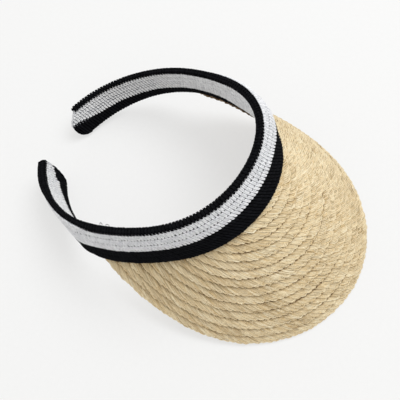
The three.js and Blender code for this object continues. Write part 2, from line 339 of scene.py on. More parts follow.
def add_piece(name, shape, materials, slot, *replaced):
    """Makes the mesh object, in frame metres, and puts it on the visor's body."""
    points = tipped(np.concatenate(shape.points)) * MM + ORIGIN
    mesh = bpy.data.meshes.new(name)
    mesh.from_pydata(points.tolist(), [], shape.faces)
    thread = mesh.attributes.new("thread", "FLOAT_VECTOR", "POINT")
    thread.data.foreach_set("vector", np.concatenate(shape.attributes["thread"]).astype(np.float32).ravel())
    tone = mesh.attributes.new("tone", "FLOAT", "POINT")
    tone.data.foreach_set("value", np.concatenate(shape.attributes["tone"]).astype(np.float32))
    mesh.shade_smooth()
    for material in materials:
        mesh.materials.append(material)
    mesh.polygons.foreach_set("material_index", np.concatenate(shape.marks))
    piece = bpy.data.objects.new(name, mesh)
    bpy.context.scene.collection.objects.link(piece)
    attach(piece, "root")
    if replaced:
        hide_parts(*replaced)
    return piece


def wander(positions, wavelength, size):
    """Smooth seeded noise along a length."""
    span = float(positions[-1] - positions[0])
    knots = max(4, int(span / wavelength) + 3)
    values = RANDOM.normal(0, size, knots)
    place = (positions - positions[0]) / max(span, 1e-6) * (knots - 1)
    low = np.clip(place.astype(int), 0, knots - 2)
    share = smooth(place - low)
    return values[low] * (1 - share) + values[low + 1] * share


# ---- Materials ---------------------------------------------------------------------------------
class Nodes:
    """Small helper that adds and joins shader nodes of one material."""

    def __init__(self, name):
        self.material = bpy.data.materials.new(name)
        self.material.use_nodes = True
        self.tree = self.material.node_tree
        self.shader = self.tree.nodes["Principled BSDF"]

    def add(self, kind, **inputs):
        node = self.tree.nodes.new("ShaderNode" + kind)
        for key, value in inputs.items():
            self.set(node, key.replace("_", " "), value)
        return node

    def set(self, node, socket, value):
        target = node.inputs[int(socket)] if socket.isdigit() else node.inputs[socket]
        if isinstance(value, bpy.types.NodeSocket):
            self.tree.links.new(value, target)
        else:
            target.default_value = value

    def math(self, operation, *values):
        node = self.add("Math")
        node.operation = operation
        for number, value in enumerate(values):
            self.set(node, str(number), value)
        return node.outputs[0]

    def attribute(self, name, output="Vector"):
        node = self.add("Attribute")
        node.attribute_name = name
        return node.outputs[output]

    def stretched(self, vector, scale):
        node = self.add("VectorMath")
        node.operation = "MULTIPLY"
        self.set(node, "0", vector)
        self.set(node, "1", scale)
        return node.outputs[0]

    def noise(self, vector, scale, detail=3.0, roughness=0.55):
        node = self.add("TexNoise", Vector=vector, Scale=scale, Detail=detail, Roughness=roughness)
        return node.outputs["Fac"]

    def ramp(self, value, *stops):
        node = self.add("ValToRGB", Fac=value)
        elements = node.color_ramp.elements
        while len(elements) < len(stops):
            elements.new(0.5)
        for element, (place, colour) in zip(elements, stops):
            element.position = place
            element.color = (*colour, 1)
        return node.outputs["Color"]

    def mix(self, share, first, second, kind="MIX"):
        node = self.add("Mix")
        node.data_type = "RGBA"
        node.blend_type = kind
        self.set(node, "0", share)
        self.set(node, "6", first)
        self.set(node, "7", second)
        return node.outputs[2]

    def bump(self, height, distance, strength=1.0, before=None):
        node = self.add("Bump", Height=height, Distance=distance, Strength=strength)
        if before is not None:
            self.set(node, "Normal", before)
        return node.outputs["Normal"]

    def finish(self, colour, normal, roughness, **values):
        self.set(self.shader, "Base Color", colour)
        self.set(self.shader, "Normal", normal)
        self.set(self.shader, "Roughness", roughness)
        for key, value in values.items():
            self.set(self.shader, key.replace("_", " "), value)
        return self.material


def raffia_material():
    """Split palm leaf: pale straw with fine lengthwise fibres, golden and greenish strands."""
    n = Nodes("raffia")
    thread = n.attribute("thread")
    fibres = n.noise(n.stretched(thread, (0.22, 2.6, 1.0)), 1.0, 4.0, 0.6)
    fine = n.noise(n.stretched(thread, (0.25, 9.0, 1.0)), 1.0, 2.0, 0.5)
    patches = n.noise(n.stretched(thread, (0.05, 0.15, 1.0)), 1.0, 2.0, 0.5)
    tone = n.attribute("tone", "Fac")
    # Its dark brown end shows the painted shade that plait() puts into the tone, under strands, at leaf
    # sides and at creases.
    straw = n.ramp(tone, (0.0, (0.22, 0.135, 0.055)), (0.30, (0.72, 0.58, 0.36)),
                   (0.65, (0.91, 0.80, 0.57)), (1.0, (0.95, 0.88, 0.69)))
    streaks = n.ramp(fibres, (0.34, (0.42, 0.31, 0.18)), (0.44, (0.86, 0.81, 0.71)), (0.56, (1, 1, 1)))
    colour = n.mix(0.85, straw, streaks, "MULTIPLY")
    golden = n.ramp(patches, (0.42, (1, 1, 1)), (0.72, (0.93, 0.80, 0.58)))
    colour = n.mix(0.7, colour, golden, "MULTIPLY")
    normal = n.bump(fibres, 0.0005, 0.9)
    normal = n.bump(fine, 0.00012, 0.5, normal)
    roughness = n.math("MULTIPLY_ADD", fine, 0.25, 0.48)
    return n.finish(colour, normal, roughness, Specular_IOR_Level=0.4)


def yarn_material(name, dark, light, specular):
    """Plied yarn: two plies twisted round each other, with fine fuzzy fibres."""
    n = Nodes(name)
    thread = n.attribute("thread")
    parts = n.add("SeparateXYZ", Vector=thread)
    twist = n.math("MULTIPLY_ADD", parts.outputs["X"], 4.2, parts.outputs["Z"])
    plies = n.math("SINE", n.math("MULTIPLY", twist, 2.0))
    plies = n.math("MULTIPLY_ADD", plies, 0.5, 0.5)
    fuzz = n.noise(n.stretched(thread, (2.2, 6.0, 1.6)), 1.0, 4.0, 0.65)
    tone = n.attribute("tone", "Fac")
    shade = n.math("MULTIPLY_ADD", fuzz, 0.5, n.math("MULTIPLY", plies, 0.25))
    shade = n.math("ADD", shade, n.math("MULTIPLY", tone, 0.3))
    colour = n.ramp(shade, (0.25, dark), (0.75, light))
    normal = n.bump(plies, 0.00010, 0.6)
    normal = n.bump(fuzz, 0.00012, 0.7, normal)
    roughness = n.math("MULTIPLY_ADD", fuzz, 0.2, 0.75)
    return n.finish(colour, normal, roughness, Specular_IOR_Level=specular)


def ground_material(name, dark, light):
    """The shaded back of the knitting, seen only in the holes between stitches."""
    n = Nodes(name)
    weave = n.noise(n.stretched(n.attribute("thread"), (1.3, 1.3, 1.3)), 1.0, 3.0)
    shade = n.math("ADD", n.math("MULTIPLY", n.attribute("tone", "Fac"), 0.9),
                   n.math("MULTIPLY", weave, 0.2))
    colour = n.ramp(shade, (0.1, dark), (0.9, light))
    return n.finish(colour, n.bump(weave, 0.0002, 0.6), n.math("MULTIPLY_ADD", weave, 0.1, 0.85),
                    Specular_IOR_Level=0.02)


def foam_material():
    n = Nodes("foam")
    place = n.add("TexCoord").outputs["Object"]
    pores = n.add("TexVoronoi", Vector=place, Scale=1400.0).outputs["Distance"]
    stain = n.noise(place, 60.0)
    colour = n.ramp(stain, (0.3, (0.78, 0.72, 0.58)), (0.7, (0.88, 0.84, 0.72)))
    return n.finish(colour, n.bump(pores, 0.0003, 0.8), n.math("MULTIPLY_ADD", pores, 0.2, 0.8))


def plastic_material():
    n = Nodes("spring_plastic")
    place = n.add("TexCoord").outputs["Object"]
    cloud = n.noise(place, 35.0)
    colour = n.ramp(cloud, (0.3, (0.66, 0.66, 0.63)), (0.7, (0.76, 0.76, 0.74)))
    scratches = n.noise(n.stretched(place, (40.0, 40.0, 900.0)), 1.0)
    return n.finish(colour, n.bump(scratches, 0.00005, 0.5), n.math("MULTIPLY_ADD", cloud, 0.2, 0.3))


def floor_material():
    n = Nodes("floor_paper")
    place = n.add("TexCoord").outputs["Object"]
    grain = n.noise(place, 300.0)
    colour = n.ramp(grain, (0.3, (0.275, 0.275, 0.275)), (0.7, (0.285, 0.285, 0.285)))
    return n.finish(colour, n.bump(grain, 0.0001, 0.1), n.math("MULTIPLY_ADD", grain, 0.05, 0.9),
                    Specular_IOR_Level=0.0, Emission_Color=(0.97, 0.97, 0.965, 1), Emission_Strength=0.62)


RAFFIA = raffia_material()
WHITE_YARN = yarn_material("white_yarn", (0.56, 0.57, 0.60), (0.97, 0.975, 0.99), 0.2)
# A lighter copy of the white yarn for the inner face: painted light that lifts the shade falling on that
# face.
INNER_YARN_LIT = yarn_material("inner_yarn_lit", (0.64, 0.65, 0.67), (0.98, 0.985, 0.99), 0.2)
BLACK_YARN = yarn_material("black_yarn", (0.0006, 0.0007, 0.0010), (0.0085, 0.009, 0.0115), 0.06)
# The grey of the backing behind the white stitches is painted shade, seen in the gaps between them.
WHITE_GROUND = ground_material("white_ground", (0.008, 0.009, 0.012), (0.42, 0.43, 0.46))
BLACK_GROUND = ground_material("black_ground", (0.0008, 0.0008, 0.0012), (0.002, 0.0022, 0.003))


# ---- Brim: rows of flat plait -----------------------------------------------------------------
def runs(flags):
    """Start and stop of each unbroken run of true values."""
    edges = np.flatnonzero(np.diff(np.concatenate([[0], flags.astype(int), [0]])))
    return zip(edges[::2], edges[1::2])


def plait(shape, surface, length, swing, strand_width, thickness, inside, number, crease=math.inf):
    """A flat plait along a length. Each strand is a few split leaves side by side.
    surface(along, sideways, rise) places its points; inside(along, sideways) says what is kept.
    number seeds the fibres' pattern. crease is the sideways distance at which the next row covers
    this one. The numbers given to wander are a wavelength and a size."""
    steps = max(12, int(length / STRAND_STEP))
    along = np.linspace(0, length, steps)
    plait_phase = 2 * math.pi * along / PLAIT_PERIOD + RANDOM.uniform(0, 6) + wander(along, 30, 0.25)
    plait_lift = wander(along, 30, 0.07)
    plait_tone = wander(along, 60, 0.05)
    sides = 8
    turn = np.arange(sides) / sides * 2 * math.pi
    leaf_width = strand_width / LEAVES
    for strand in range(STRANDS):
        phase = plait_phase + strand * 2 * math.pi / STRANDS
        zigzag = np.arcsin(SHARPNESS * np.sin(phase)) / math.asin(SHARPNESS)
        side = swing * (1 + wander(along, 14, 0.05)) * zigzag
        # A strand is underneath as it leaves an edge and on top as it nears the other one.
        lift = 0.55 * thickness * np.sin(2 * phase) + plait_lift
        lean = np.gradient(side, along)
        stretch = np.sqrt(1 + lean ** 2)
        strand_tone = 0.55 + wander(along, 11, 0.07) + plait_tone
        for leaf in range(LEAVES):
            place = (leaf - (LEAVES - 1) / 2) * leaf_width * 0.95 + wander(along, 9, 0.08)
            crown = -0.10 * (2 * leaf / (LEAVES - 1) - 1) ** 2 + wander(along, 8, 0.07)
            size = 1 + wander(along, 7, 0.16)
            across = place[:, None] + leaf_width * 0.485 * size[:, None] * np.cos(turn)[None, :]
            bulk = np.sign(np.sin(turn)) * np.abs(np.sin(turn)) ** 0.8 * thickness / 2
            height = crown[:, None] + bulk[None, :] * (1 + wander(along, 10, 0.10))[:, None]
            s = along[:, None] - across * (lean / stretch)[:, None]
            sideways = side[:, None] + across / stretch[:, None]
            points = surface(s, sideways, lift[:, None] + height)
            leaf_number = number * 13 + strand * LEAVES + leaf
            thread = np.stack([np.broadcast_to(along[:, None] * stretch[:, None], s.shape),
                               across + leaf_number * 7.0, 0 * s + leaf_number], -1)
            tone = strand_tone + wander(along, 8, 0.09) + RANDOM.normal(0, 0.06)
            # Painted shade: a strand is darker where it runs underneath the other strands.
            under = 0.16 * np.clip(-np.sin(2 * phase), 0, 1)
            # Painted shade: each leaf is darker along both its sides, where it meets the leaves beside it.
            tone = (tone - under)[:, None] - 0.8 * np.abs(np.cos(turn))[None, :] ** 4
            # Painted shade: darker towards the crease, where the next row in covers this one; it shows from
            # below the brim too.
            tone = tone - 0.8 * smooth((sideways - crease + CREASE) / CREASE)
            tone = np.clip(tone + 0.12, 0, 1)
            for start, stop in runs(inside(along, side + place)):
                if stop - start > 3:
                    shape.add(points[start:stop], tube_faces(stop - start, sides),
                              thread[start:stop], tone[start:stop])


def plait_row(row):
    """One row of braid. It runs from -X to +X, and its outer edge lies on the next row out."""
    at_edge = row == 0
    swing = EDGE_PLAIT_SWING if at_edge else PLAIT_SWING
    strand_width = EDGE_STRAND_WIDTH if at_edge else STRAND_WIDTH
    middle = row * ROW_WIDTH - 0.2 + swing + strand_width / 2 + EDGE_SET_IN * at_edge
    tilt = -ROW_STEP_UP / ROW_WIDTH
    tile_middle = (row + 0.5) * ROW_WIDTH

    shares = np.linspace(-0.999, 0.999, 1200)
    shares = shares[brim_width(shares) + MARGIN_RUN > middle - swing]
    line = brim_point(shares, np.minimum(middle, brim_width(shares)), 0 * shares)
    lengths = np.concatenate([[0], np.cumsum(np.linalg.norm(np.diff(line, axis=0), axis=1))])
    drift = wander(lengths, 45, 0.22)

    def surface(along, sideways, rise):
        inwards = middle + sideways + np.interp(along, lengths, drift)
        level = (inwards - tile_middle) * tilt - BRAID_THICKNESS / 2
        return brim_point(np.interp(along, lengths, shares), inwards, level + rise)

    def inside(along, sideways):
        width = brim_width(np.interp(along, lengths, shares))
        cut_off = width - row * ROW_WIDTH < ROW_END_WIDTH
        return (middle + sideways < width + MARGIN_RUN) & ~cut_off

    shape = Shape()
    crease = (row + 1) * ROW_WIDTH - middle
    plait(shape, surface, lengths[-1], swing, strand_width, LEAF_THICKNESS, inside, row, crease)
    node = f"braid_row_{row + 1:02d}"
    return add_piece(f"raffia_{node}", shape, [RAFFIA], "raffia", node)


def add_margin():
    """The rows' sewn ends, pressed flat inside the band: a thin plait that follows the wall."""
    half_angle = rad(BRIM_HALF_ANGLE)
    reach = float(np.interp(half_angle, ANGLE_TABLE, ARC_TABLE)) - 2
    shape = Shape()
    for level in (MARGIN_LEAF_DEPTH, MARGIN_LEAF_DEPTH + MARGIN_LEAF_STEP):
        def surface(along, sideways, rise):
            angle = angle_at(along - reach)
            return band_point(angle, rise, band_height(angle) - level + sideways)

        plait(shape, surface, 2 * reach, MARGIN_SWING, MARGIN_STRAND, MARGIN_THICKNESS / 3.4,
              lambda along, sideways: along >= 0, ROWS)
    add_piece("raffia_brim_margin", shape, [RAFFIA], "raffia", "brim_margin")


# ---- Band: knitted tape ---------------------------------------------------------------------------
END_HEIGHT = float(band_height(np.array(rad(BAND_END_ANGLE))))


def end_limit(side, depth):
    """Distance along the band at which a free end stops; side is 1 on the left and -1 on the right."""
    if side > 0:
        share = np.clip((depth - TOP_STRIPE) / LEFT_END_SWEEP_DEPTH, 0, 1)
        run = LEFT_END_RUN + LEFT_END_SWEEP * np.sin(share * math.pi / 2)
        corner = LEFT_END_CORNER
    else:
        run = RIGHT_END_RUN - RIGHT_END_DOME * (depth - RIGHT_END_MIDDLE) ** 2
        corner = RIGHT_END_CORNER
    into = np.clip(1 - (END_HEIGHT - depth) / corner, 0, 1)
    return END_ARC + run - corner * (1 - np.sqrt(1 - into ** 2))


def within_ends(arc, depth):
    return (arc < end_limit(1, depth) - 0.4) & (-arc < end_limit(-1, depth) - 0.4)


def past(arc, side, before):
    """Distance past a place that lies so far before one end's corner."""
    return side * arc - END_ARC + before


def outer_split(arc):
    """Depth of the line between white and black on the outer face."""
    angle = angle_at(arc)
    return band_height(angle) - OUTER_BLACK - OUTER_BLACK_FRONT * np.cos(angle)


def inner_split(arc):
    """The same on the inner face, where the black widens at the free ends."""
    angle = angle_at(arc)
    black = INNER_BLACK + INNER_BLACK_FRONT * np.cos(angle)
    left = 6.5 * smooth(past(arc, 1, 15) / 27)
    right = 4.0 * smooth(past(arc, -1, 13.5) / 1.2) + 3.5 * smooth(past(arc, -1, 11) / 11)
    right = right - 3.4 * smooth((-np.degrees(angle) - 80) / 20) * (1 - smooth(past(arc, -1, 36) / 22))
    return band_height(angle) - black - left - right


def outer_bottom(arc):
    angle = angle_at(arc)
    on_brim = 1 - smooth((np.abs(angle) - rad(BRIM_HALF_ANGLE)) / rad(5))
    return band_height(angle) + TAPE_LAP * on_brim


def inner_bottom(arc):
    return band_height(angle_at(arc))


def inner_top(arc):
    """Depth of the top of the white on the inner face."""
    return TOP_STRIPE - SIDE_INNER_LAP * side_window(angle_at(arc))


def window(value, start, rise, stop, fall):
    """Goes smoothly from 0 to 1 over rise, from start on, and back to 0 over fall, from stop on."""
    return smooth((value - start) / rise) * (1 - smooth((value - stop) / fall))


def front_window(angle):
    """1 at the left of the front, where the tape stands off the wall, and 0 elsewhere."""
    return window(np.degrees(angle), 8, 30, 66, 22)


def side_window(angle):
    """1 at the back of the right side, where the top fold is narrower outside, and 0 elsewhere."""
    return window(-np.degrees(angle), 98, 18, 130, 24)


def belly(angle, depth):
    """How far the outer tape stands off the wall, between its top fold and the brim."""
    share = np.clip(depth / band_height(angle), 0, 1)
    off = FRONT_BELLY * front_window(angle) + SIDE_BELLY * side_window(angle)
    return off * np.sin(math.pi * share ** 0.75)


def outer_top(arc):
    """Depth of the top of the white on the outer face, which laps over the fold in two places."""
    angle = angle_at(arc)
    return TOP_STRIPE + 0.1 - FRONT_LAP * front_window(angle) - SIDE_LAP * side_window(angle)


def inner_belly(angle, depth):
    """The inner face sags in a little behind the same place."""
    here = window(np.degrees(angle), 20, 18, 58, 20)
    share = np.clip(depth / band_height(angle), 0, 1)
    return INNER_BELLY * here * np.sin(math.pi * share ** 1.2)


def fold_puff(angle):
    return FOLD_PUFF * smooth((-np.degrees(angle) - 136) / 16) - SIDE_THIN * side_window(angle)


def pinch(arc, depth):
    """How much less the half thickness is, towards the left end and below its top fold."""
    return PINCH * smooth(past(arc, 1, PINCH_RUN - 4) / PINCH_RUN) * smooth((depth - 1) / 5)


def outer_point(arc, depth, height):
    """Point of the outer face; it flares where the tape laps over the brim."""
    angle = angle_at(arc)
    flare = TAPE_FLARE * smooth((depth - band_height(angle) + 7) / 7) - 2 * pinch(arc, depth)
    return band_point(angle, HALF + flare + belly(angle, depth) + height, depth)


def inner_point(arc, depth, height):
    angle = angle_at(arc)
    return band_point(angle, -HALF - inner_belly(angle, depth) - height, depth)


def fold_point(arc, run, height):
    """Point of the top fold: run goes from the outer face over the top to the inner face."""
    angle = angle_at(arc)
    puff = fold_puff(angle)
    straight = TOP_STRIPE - TOP_CORNER_RADIUS
    quarter = TOP_CORNER_RADIUS * math.pi / 2
    flat = BAND_THICKNESS - 2 * TOP_CORNER_RADIUS
    first = straight + quarter
    second = first + flat
    turn = np.clip((run - straight) / quarter, 0, 1) + np.clip((run - second) / quarter, 0, 1)
    turn = turn * math.pi / 2
    centre = HALF - TOP_CORNER_RADIUS - np.clip(run - first, 0, flat)
    reach = TOP_CORNER_RADIUS + height
    drop = np.clip(straight - run, 0, None) + np.clip(run - second - quarter, 0, None)
    out = (centre + reach * np.cos(turn)) * (1 + puff / HALF)
    depth = TOP_CORNER_RADIUS - reach * np.sin(turn) + drop
    return band_point(angle, out, depth - 0.7 * puff)


# Whole length of the fold's section: two straight sides, two quarter turns and the flat top.
FOLD_RUN = 2 * (TOP_STRIPE - TOP_CORNER_RADIUS) + TOP_CORNER_RADIUS * math.pi
FOLD_RUN += BAND_THICKNESS - 2 * TOP_CORNER_RADIUS


def turn_under(arc, run, height):
    """Point of the tape where it turns under the wall: run goes from the outer to the inner face."""
    angle = angle_at(arc)
    turn = run / HALF
    less = pinch(arc, END_HEIGHT)
    out = (HALF - less + height) * np.cos(turn) - less
    bulge = BOTTOM_ROUND * (1 - 0.9 * smooth((np.abs(arc) - END_ARC + 14) / 12))
    return band_point(angle, out, band_height(angle) + (bulge + height) * np.sin(turn))


def end_point(side):
    """Surface of the tape where it turns round a free end: around goes from the outer to the inner
    face, and the end closes over its top and bottom."""
    def surface(around, depth, height):
        arc = side * end_limit(side, np.clip(depth, 0, END_HEIGHT))
        angle = angle_at(arc)
        step = side * SMALL_ANGLE
        ahead = unit(plan_point(angle + step) - plan_point(angle - step))
        above = np.clip(TOP_CORNER_RADIUS - depth, 0, TOP_CORNER_RADIUS)
        below = np.clip((depth - END_HEIGHT) / BOTTOM_ROUND, 0, 1)
        less = pinch(arc, depth)
        radius = HALF + fold_puff(angle) * smooth(1 - depth / 6) - TOP_CORNER_RADIUS
        radius = radius + np.sqrt(TOP_CORNER_RADIUS ** 2 - above ** 2) - less
        radius = radius * np.sqrt(1 - below ** 2) + height
        turn = around / HALF
        middle = band_point(angle, -less, depth)
        outwards = outwards_at(angle) * (radius * np.cos(turn))[..., None]
        return middle + outwards + ahead * (END_BULGE * radius * np.sin(turn))[..., None]
    return surface


def outer_slant(depth):
    """Sideways run of a rib on the outer face: square at the top, sweeping towards +X below."""
    return 0.10 * depth + 0.011 * depth ** 2


def inner_slant(depth):
    return -0.22 * depth


def fold_slant(run):
    return 0.12 * (FOLD_RUN / 2 - run)


def upright(depth):
    return 0 * depth


SIDE_RIBS = math.ceil(END_ARC * 1.2 / RIB_PITCH)
ALL_RIBS = np.arange(-SIDE_RIBS, SIDE_RIBS + 1) * RIB_PITCH


def stitches(shape, surface, slant, top, bottom, rows, spread, kept=within_ends, mark=0,
             ribs=ALL_RIBS, tips=(0, 0), relief=0.26, open_rows=(), lift=0):
    """Columns of knit stitches, each of two yarn legs that lie closer together at their lower end.
    top and bottom are functions of the distance along the band, and slant is the sideways run of a
    column. spread is half the gap between the legs, at both ends. tips says how far the first and
    the last stitch of a column are drawn together, which gives the stripe its toothed edge. relief
    is how far a stitch arches up, and lift how far all of them stand up. Before each row in
    open_rows, one leg of every stitch stops short and leaves a small hole."""
    base, row, leg = np.meshgrid(ribs, np.arange(rows), [-1, 1], indexing="ij")
    base, row, leg = base.ravel(), row.ravel(), leg.ravel()
    count = len(base)
    ragged = np.repeat(RANDOM.normal(0, 0.14, (2, len(ribs))), rows * 2, axis=1)
    high = top(base + slant(top(base))) + ragged[0]
    low = bottom(base + slant(bottom(base))) + ragged[1]
    step = (low - high) / rows
    start = high + row * step

    ring_share = np.array([0.0, 0.13, 0.50, 0.87, 1.0])
    ring_size = np.array([0.32, 0.82, 1.06, 0.84, 0.34])
    sides = 5
    turn = np.arange(sides) / sides * 2 * math.pi
    gape = np.abs(RANDOM.normal(OPEN_ROW_GAP, OPEN_ROW_GAP / 2, count)) * (leg > 0) / np.abs(step)
    lead = np.where(np.isin(row, open_rows), gape, 0)[:, None, None]
    trail = np.where(np.isin(row + 1, open_rows), gape, 0)[:, None, None]
    share = ring_share[None, :, None]
    loose = 1 + RANDOM.normal(0, 0.06, count)[:, None, None]
    nudge = RANDOM.normal(0, 0.05, count)[:, None, None]
    side = leg[:, None, None] * (spread[0] + (spread[1] - spread[0]) * share) * loose + nudge
    drawn = (row == 0)[:, None, None] * tips[0] * (1 - share)
    drawn = drawn + (row == rows - 1)[:, None, None] * tips[1] * share
    side = side * (1 - drawn)
    size = ring_size[None, :, None] * (1 + RANDOM.normal(0, 0.06, count))[:, None, None] * (1 - 0.25 * drawn)
    across = YARN_WIDTH / 2 * size * np.cos(turn)[None, None, :]
    reach = share * (1 + STITCH_LAP - lead - trail) + lead - STITCH_LAP / 2
    depth = start[:, None, None] + step[:, None, None] * reach + 0 * across
    uneven = RANDOM.normal(0, 0.05, count)[:, None, None]
    arch = relief * (np.sin(math.pi * share) - 0.5) - 0.2 * (1 - share) + uneven
    height = YARN_THICKNESS / 2 * size * np.sin(turn)[None, None, :] - YARN_THICKNESS / 2 + arch + lift
    arc = base[:, None, None] + slant(depth) + side + across
    keep = kept(arc.mean((1, 2)), depth.mean((1, 2)))
    if kept is within_ends:
        arc = np.clip(arc, 0.2 - end_limit(-1, depth), end_limit(1, depth) - 0.2)
    points = surface(arc[keep], depth[keep], height[keep])
    along = share * step[:, None, None] + row[:, None, None] * 3.0 + base[:, None, None] * 0.7
    around = 0 * across + turn[None, None, :]
    thread = np.stack([along + 0 * across, across + base[:, None, None], around], -1)
    tone = np.clip(RANDOM.normal(0.5, 0.25, count), 0, 1)
    faces = tube_faces(len(ring_share), sides)
    per_leg = len(ring_share) * sides
    shifts = np.arange(len(points))[:, None, None] * per_leg
    lists = [(part[None] + shifts).reshape(-1, part.shape[1]) for part in faces.lists]
    shape.add(points, Faces(*lists), thread[keep], np.repeat(tone[keep], per_leg), mark)


def ground(shape, surface, top, bottom, holes, mark=1, span=None):
    """Thin closed backing of the stitches. holes gives its tone: 0 in a dark hole, 1 elsewhere."""
    levels = np.linspace(0, 1, GROUND_LEVELS)
    if span is None:
        shares = np.linspace(-1, 1, GROUND_STEPS)[:, None]
        rough = shares * END_ARC
        high, low = top(rough), bottom(rough)
        front = high + (low - high) * levels[None, :]
        reach = np.where(shares > 0, end_limit(1, front), end_limit(-1, front))
        arc = shares * reach
    else:
        arc = np.linspace(span[0], span[1], max(9, int(abs(span[1] - span[0]))))[:, None]
        high, low = top(arc), bottom(arc)
        front = high + (low - high) * levels[None, :]
        arc = np.broadcast_to(arc, front.shape)
    depth = np.concatenate([front, front[:, ::-1]], 1)
    arc = np.concatenate([arc, arc[:, ::-1]], 1)
    height = np.concatenate([0 * front - GROUND_DEPTH, 0 * front - TAPE], 1)
    points = surface(arc, depth, height)
    shape.add(points, tube_faces(*depth.shape), None, holes(arc, depth).ravel(), mark)


def hole_rows(*shares):
    """Tone of the backing: dark in a few lengthwise rows, given as shares of the white's height."""
    def tone(arc, depth):
        share = (depth - outer_top(arc)) / (outer_split(arc) + WHITE_TIP - outer_top(arc))
        nearest = np.min([np.abs(share - place) for place in shares], axis=0)
        return smooth((nearest - 0.03) / 0.03)
    return tone


def plain(arc, depth):
    return 0.3 + 0 * arc


def far_end_holes(arc, depth):
    """Tone of the inner backing: a dark line at each row of stitches, darkest at the left end."""
    openness = smooth((arc - END_ARC * 0.3) / (END_ARC * 0.4))
    row = (depth - inner_top(arc)) / (inner_split(arc) + WHITE_TIP - inner_top(arc)) * INNER_WHITE_ROWS
    hole = 0.5 + 0.5 * np.cos(2 * math.pi * (row - 0.85))
    return 1 - (0.25 + 0.75 * openness) * hole


def level_at(value):
    return lambda arc: value + 0 * arc


def shifted(function, distance):
    return lambda arc: function(arc) + distance


WHITE_KNIT = [WHITE_YARN, WHITE_GROUND]
BLACK_KNIT = [BLACK_YARN, BLACK_GROUND]


def add_face(prefix, yarn, legs, surface, slant, top, split, bottom, white_rows, black_rows,
             holes, open_rows):
    """White and black stripes of one face of the tape."""
    shape = Shape()
    ground(shape, surface, top, shifted(split, -SPLIT_LAP - 0.15), holes)
    stitches(shape, surface, slant, top, shifted(split, WHITE_TIP), white_rows, legs,
             tips=(0, 0.5), open_rows=open_rows)
    add_piece(f"knit_{prefix}_white", shape, [yarn, WHITE_GROUND], "white_knit", f"{prefix}_tape_white")
    shape = Shape()
    ground(shape, surface, shifted(split, -SPLIT_LAP), bottom, plain)
    stitches(shape, surface, slant, shifted(split, BLACK_DROP), bottom, black_rows, BLACK_LEGS,
             relief=0.45)
    if prefix == "inner":
        add_turn_under(shape)
    add_piece(f"knit_{prefix}_black", shape, BLACK_KNIT, "black_knit", f"{prefix}_tape_black")


def add_turn_under(shape):
    """Behind the brim the black stripe turns under the wall, from one face to the other."""
    start = float(np.interp(rad(BRIM_HALF_ANGLE + 1), ANGLE_TABLE, ARC_TABLE))
    run = math.pi * HALF
    for side in (-1, 1):
        stop = float(end_limit(side, np.array(END_HEIGHT))) - 1
        ground(shape, turn_under, level_at(0), level_at(run), plain, 1, (side * start, side * stop))

    def behind(arc, depth):
        return (np.abs(arc) > start) & within_ends(arc * 1.008, END_HEIGHT + 0 * arc)

    stitches(shape, turn_under, upright, level_at(0), level_at(run), UNDER_ROWS, BLACK_LEGS, behind)


def outer_fold_edge(arc):
    """Where the fold starts on the outer face. The white tape laps over it where it stands off."""
    angle = angle_at(arc)
    return -0.7 + 0.8 * FRONT_LAP * front_window(angle) + SIDE_LAP * side_window(angle)


def inner_fold_edge(arc):
    """Where the fold ends on the inner face, as a run over the fold."""
    return FOLD_RUN + 0.6 - SIDE_INNER_LAP * side_window(angle_at(arc))


def thread_loops(shape):
    """Two short loops of loose yarn that stand out of the fold's inner edge, at the right side."""
    for angle, width, reach in ((-93, 1.2, 1.9), (-88.5, 1.7, 1.4)):
        arc = float(np.interp(rad(angle), ANGLE_TABLE, ARC_TABLE))
        share = np.linspace(0, 1, 17)[:, None]
        turn = np.arange(6)[None, :] / 6 * 2 * math.pi
        thick = 0.16
        run = FOLD_RUN - 2.2 - reach * 0.3 * np.sin(math.pi * share) + thick * np.cos(turn)
        along = arc + width * np.cos(math.pi * share) + 0 * turn
        height = reach * np.sin(math.pi * share) - 0.1 + thick * np.sin(turn)
        shape.add(fold_point(along, run, height), tube_faces(17, 6))


def add_tape():
    add_face("outer", WHITE_YARN, OUTER_LEGS, outer_point, outer_slant, outer_top, outer_split, outer_bottom,
             OUTER_WHITE_ROWS, OUTER_BLACK_ROWS, hole_rows(*OUTER_DARK_ROWS), OUTER_OPEN_ROWS)
    add_face("inner", INNER_YARN_LIT, INNER_LEGS, inner_point, inner_slant, inner_top, inner_split, inner_bottom,
             INNER_WHITE_ROWS, INNER_BLACK_ROWS, far_end_holes, INNER_OPEN_ROWS)

    def ends(arc, run):
        return within_ends(arc, 0 * arc)

    shape = Shape()
    ground(shape, fold_point, shifted(outer_fold_edge, 1.3), shifted(inner_fold_edge, -1.4), plain, 1,
           (-float(end_limit(-1, np.array(0.0))), float(end_limit(1, np.array(0.0)))))
    stitches(shape, fold_point, fold_slant, outer_fold_edge, inner_fold_edge, FOLD_ROWS,
             FOLD_LEGS, ends, tips=(0.7, 0.7), relief=0.42, lift=0.35)
    thread_loops(shape)
    add_piece("knit_top_fold", shape, BLACK_KNIT, "black_knit", "top_fold_black")


